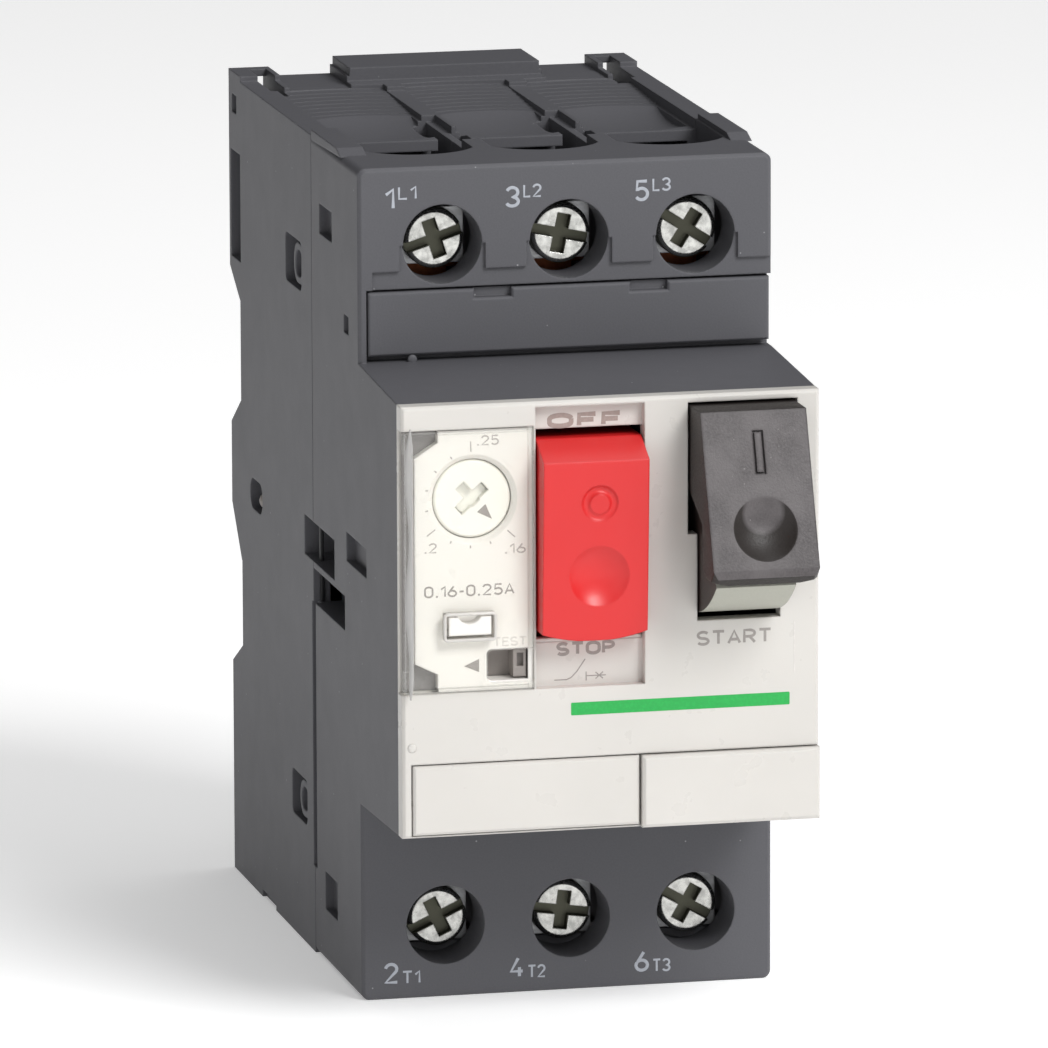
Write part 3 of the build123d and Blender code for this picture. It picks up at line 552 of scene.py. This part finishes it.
arrow = sheet(mm([(-15.6, -4.65), (-14.0, -5.35), (-14.0, -3.95)]))
place("test_arrow", on_front(arrow, 0, LABEL, 0), INK_WHITE, "housing")
pointer = sheet(mm([(2.15, -2.25), (0.55, -1.45), (1.45, -0.65)]))
place("dial_pointer", on_front(pointer, DIAL_X, DIAL_FACE, DIAL_Z), INK_WHITE, "dial")

# trip symbol under the stop button
TRIP = [[(-5.8, -6.8), (-4.5, -6.8), (-4.0, -6.6), (-3.4, -6.0), (-2.5, -4.7)],
        [(-2.4, -6.05), (-2.4, -7.0)], [(-2.4, -6.5), (-0.3, -6.5)],
        [(-1.4, -6.15), (-0.6, -6.85)], [(-1.4, -6.85), (-0.6, -6.15)]]
place("trip_symbol", on_front(strokes([mm(path) for path in TRIP], 0.13 * MM), 0, CHANNEL, 0),
      INK_WHITE, "housing")
place("front_line", on_front(strokes([mm([(19.6, -7.0), (19.6, -1.5)])], 0.13 * MM), 0, FACE, 0),
      INK_FAINT, "housing")
stripe = [(x + 7.4 * MM, z - 9.7 * MM) for x, z in loop(23.4 * MM, 1.35 * MM, 0.12 * MM)]
place("green_stripe", on_front(sheet(stripe), 0, FACE, 0), GREEN, "housing")


# Setting window

WINDOW = ((TAB_LOW.x + TAB_HIGH.x) / 2, (TAB_LOW.z + TAB_HIGH.z) / 2)
SEAL_SECTION = mm([(0.0, -0.3), (0.02, 0.03), (0.12, 0.10), (0.28, 0.06), (0.34, 0.0), (0.34, -0.3)])
seal_frame = ring(5.0 * MM, 2.4 * MM, 0.15 * MM, SEAL_SECTION)
place("seal_window_frame", on_front(seal_frame, WINDOW[0], COVER_LOW.y, WINDOW[1] - 0.1 * MM),
      WHITE, "clear_cover")


def hinge_rib():
    """The wavy moulded rib down the left edge of the clear cover."""
    low, high = COVER_LOW.z + 0.35 * MM, COVER_HIGH.z - 0.35 * MM
    steps, wavelength = 48, 13.5 * MM
    stations = []
    for i in range(steps + 1):
        rise = low + (high - low) * i / steps
        wave = sin(2 * pi * (rise - low) / wavelength)
        middle = COVER_LOW.x + (0.50 + 0.10 * wave) * MM
        half = (0.34 - 0.10 * wave) * MM
        taper = min(1.0, i / 3, (steps - i) / 3) * 0.7 + 0.3
        arc = [(middle - half * taper * cos(pi * k / 8), -0.24 * MM * taper * sin(pi * k / 8))
               for k in range(9)]
        stations.append((arc, rise))
    mesh = loft(stations)
    mesh.transform(Matrix.Translation((0, COVER_LOW.y + 0.03 * MM, 0)))
    return mesh


place("cover_hinge_rib", hinge_rib(), HAZY, "clear_cover")

# shaded floor of the pocket at the cut corners of the label plate
CORNERS = {"upper": [(-21.0, 20.2), (-18.2, 20.2), (-18.2, 18.8), (-21.0, 17.1)],
           "lower": [(-21.0, -7.2), (-21.0, -4.0), (-18.3, -5.3), (-18.3, -7.2)],
           "edge": [(-21.9, 20.2), (-21.9, -7.2), (-20.9, -7.2), (-20.9, 20.2)]}
for name, points in CORNERS.items():
    place(f"pocket_corner_{name}", on_front(sheet(mm(points)), 0, LABEL + 1.05 * MM, 0), POCKET,
          "housing")

# white margins that fill the edges of the label plate's opening
FILLS = {"right": [(-8.8, -7.3), (-8.22, -7.3), (-8.22, 20.3), (-8.8, 20.3)],
         "upper": [(-18.3, 19.7), (-8.7, 19.7), (-8.7, 20.2), (-18.3, 20.2)],
         "lower": [(-18.3, -7.3), (-8.7, -7.3), (-8.7, -6.85), (-18.3, -6.85)]}
for name, points in FILLS.items():
    place(f"plate_margin_{name}", on_front(sheet(mm(points)), 0, LABEL + 0.08 * MM, 0), PLATE, "housing")

# lower edge of the stop button's opening
SILL = (11.5 * MM, 0.42 * MM)
sill = loft([(loop(*SILL, 0.1 * MM), -1.0 * MM), (loop(*SILL, 0.1 * MM), -0.08 * MM),
             (loop(SILL[0] - 0.1 * MM, SILL[1] - 0.1 * MM, 0.06 * MM), 0.0)])
place("stop_sill", on_front(sill, -2.2 * MM, CHANNEL, -2.52 * MM), WHITE, "housing")


# Windows in the side walls

SHELF_SECTION = mm([(0.0, -1.5), (0.0, -0.1), (0.1, 0.0), (0.76, 0.0), (0.84, -0.1), (0.84, -1.5)])


def window(name, side, y, z, width, height):
    """A deep dark window with a framed oval hole in its front half; y and z are its middle."""
    floor_x = side * (SIDE - 2.6 * MM)
    back = loft([(loop(width, height, 0.8 * MM), -0.2 * MM), (loop(width, height, 0.8 * MM), 0.0)])
    place(f"{name}_back", on_side(back, side, floor_x, y, z), DARKER, "housing")
    shelf = ring(3.3 * MM, height - 2.4 * MM, 1.2 * MM, SHELF_SECTION)
    front_half = y - width / 4 + 0.45 * MM
    place(f"{name}_shelf", on_side(shelf, side, side * (SIDE - 0.25 * MM), front_half, z), DARK, "housing")


PIN = mm([(1.3, -0.4), (1.3, 0.0), (0.85, 0.2), (0.8, 1.2), (0.6, 1.5), (0.25, 1.65)])
for side, end in ((-1, "left"), (1, "right")):
    window(f"upper_window_{end}", side, -28.4 * MM, 29.35 * MM, 8.0 * MM, 5.2 * MM)
    window(f"lower_window_{end}", side, -29.9 * MM, -28.95 * MM, 7.6 * MM, 4.8 * MM)
    pin = on_side(stud(PIN), side, side * (SIDE - 1.95 * MM), -8.4 * MM, -0.6 * MM)
    place(f"oval_pin_{end}", pin, SLIDER, "housing")

# round moulding marks on the ledge above the nose and beside the white front
MARK = mm([(0.5, -0.1), (0.5, 0.02), (0.36, 0.10), (0.12, 0.14)])
for name, x, z, y, material in (("mark_left", -16.5, 24.15, BLOCK_FRONT, DARK),
                                ("mark_front", -21.2, -13.0, FACE, WHITE)):
    place(f"moulding_{name}", on_front(stud(MARK), x * MM, y, z * MM), material, "housing")


# Strips inside the side walls, which close the hairline gap between the two halves of the casing

for name, side in (("left", -1), ("right", 1)):
    outline = loop(0.4 * MM, 0.7 * MM, 0.12 * MM)
    strip = loft([(outline, -42.5 * MM), (outline, 43.0 * MM)])
    strip.transform(Matrix.Translation((side * (SIDE - 0.9 * MM), SEAM, 0)))
    place(f"seam_strip_{name}", strip, DARKER, "housing")


# The rail latch's spring, a round-wire coil of one fixed length

def coil(low, high, wire, turns, steps=22, sides=10):
    """A round-wire helix along Z that fills the box from low to high."""
    radius = (high.x - low.x) / 2 - wire
    centre = (low + high) / 2
    rise = high.z - low.z - 2 * wire
    up = Vector((0, 0, 1))
    outlines = []
    for i in range(turns * steps + 1):
        angle = 2 * pi * i / steps
        out = Vector((cos(angle), sin(angle), 0))
        spot = Vector((centre.x, centre.y, low.z + wire + rise * i / (turns * steps))) + radius * out
        outlines.append([spot + wire * (cos(2 * pi * k / sides) * out + sin(2 * pi * k / sides) * up)
                         for k in range(sides)])
    return skin(outlines)


latch_coil = place("latch_coil", coil(SPRING_LOW, SPRING_HIGH, 0.3 * MM, 7), STEEL, "housing")
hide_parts("rail_latch_spring")
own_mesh(latch_coil)


# Camera, floor and light

AZIMUTH = radians(13.05)
ELEVATION = radians(11.12)
ROLL = radians(-0.18)
DISTANCE = 1.280
AIM = Vector((0.0003, -0.040, 0.0018))

camera_data = bpy.data.cameras.new("camera")
camera_data.lens = 411.1
camera_data.sensor_width = 36
camera_data.clip_start = 0.1
camera_data.clip_end = 20
camera = bpy.data.objects.new("camera", camera_data)
SCENE.collection.objects.link(camera)
backward = Vector((-sin(AZIMUTH) * cos(ELEVATION), -cos(AZIMUTH) * cos(ELEVATION), sin(ELEVATION)))
camera.location = AIM + DISTANCE * backward
turn = (-backward).to_track_quat("-Z", "Y").to_matrix() @ Matrix.Rotation(ROLL, 3, "Z")
camera.rotation_euler = turn.to_euler()
SCENE.camera = camera


def floor():
    """A large pale floor under the object."""
    mesh = bpy.data.meshes.new("floor")
    half = 6.0
    pale, paler = linear(248, 248, 248), linear(251, 251, 251)
    corners = [(-half, -half, BOTTOM), (half, -half, BOTTOM), (half, half, BOTTOM), (-half, half, BOTTOM)]
    mesh.from_pydata(corners, [], [(0, 1, 2, 3)])
    s = Shader("floor_paper")
    s.drive("Base Color", s.mix(s.span(s.noise(0.3, 2.0), 0.3, 0.7), pale, paler))
    s.set("Roughness", 0.9)
    s.set("Emission Color", (1.0, 1.0, 1.0, 1.0))
    s.set("Emission Strength", 0.30)
    mesh.materials.append(s.material)
    plane = bpy.data.objects.new("floor", mesh)
    SCENE.collection.objects.link(plane)


def softbox(name, location, target, size, power):
    """A rectangular studio light that looks at the target."""
    data = bpy.data.lights.new(name, "AREA")
    data.shape = "RECTANGLE"
    data.size, data.size_y = size
    data.energy = power
    light = bpy.data.objects.new(name, data)
    light.location = location
    light.rotation_euler = (Vector(target) - Vector(location)).to_track_quat("-Z", "Y").to_euler()
    SCENE.collection.objects.link(light)


def studio_sky():
    """A sky that is bright at the front right and dim at the rear left."""
    world = bpy.data.worlds.new("studio")
    world.use_nodes = True
    nodes, links = world.node_tree.nodes, world.node_tree.links
    sky = nodes["Background"]
    sky.inputs["Color"].default_value = (1, 1, 1, 1)
    along = nodes.new("ShaderNodeVectorMath")
    along.operation = "DOT_PRODUCT"
    along.inputs[1].default_value = BRIGHT_SIDE
    fade = nodes.new("ShaderNodeMapRange")
    for key, value in (("From Min", -0.4), ("From Max", 0.7), ("To Min", 0.03), ("To Max", 0.62)):
        fade.inputs[key].default_value = value
    links.new(nodes.new("ShaderNodeTexCoord").outputs["Generated"], along.inputs[0])
    links.new(along.outputs["Value"], fade.inputs["Value"])
    links.new(fade.outputs["Result"], sky.inputs["Strength"])
    SCENE.world = world


LIT_POINT = (0, -0.04, 0)
BRIGHT_SIDE = (0.55, -0.80, 0.20)

floor()
softbox("key", (0.45, -0.85, 0.80), LIT_POINT, (0.5, 0.5), 11)
softbox("fill", (-0.70, -1.00, 0.30), LIT_POINT, (0.6, 0.6), 1)
softbox("top", (0.1, 0.1, 1.0), LIT_POINT, (0.6, 0.6), 2)
studio_sky()
SCENE.view_settings.view_transform = "Standard"

bpy.context.view_layer.update()
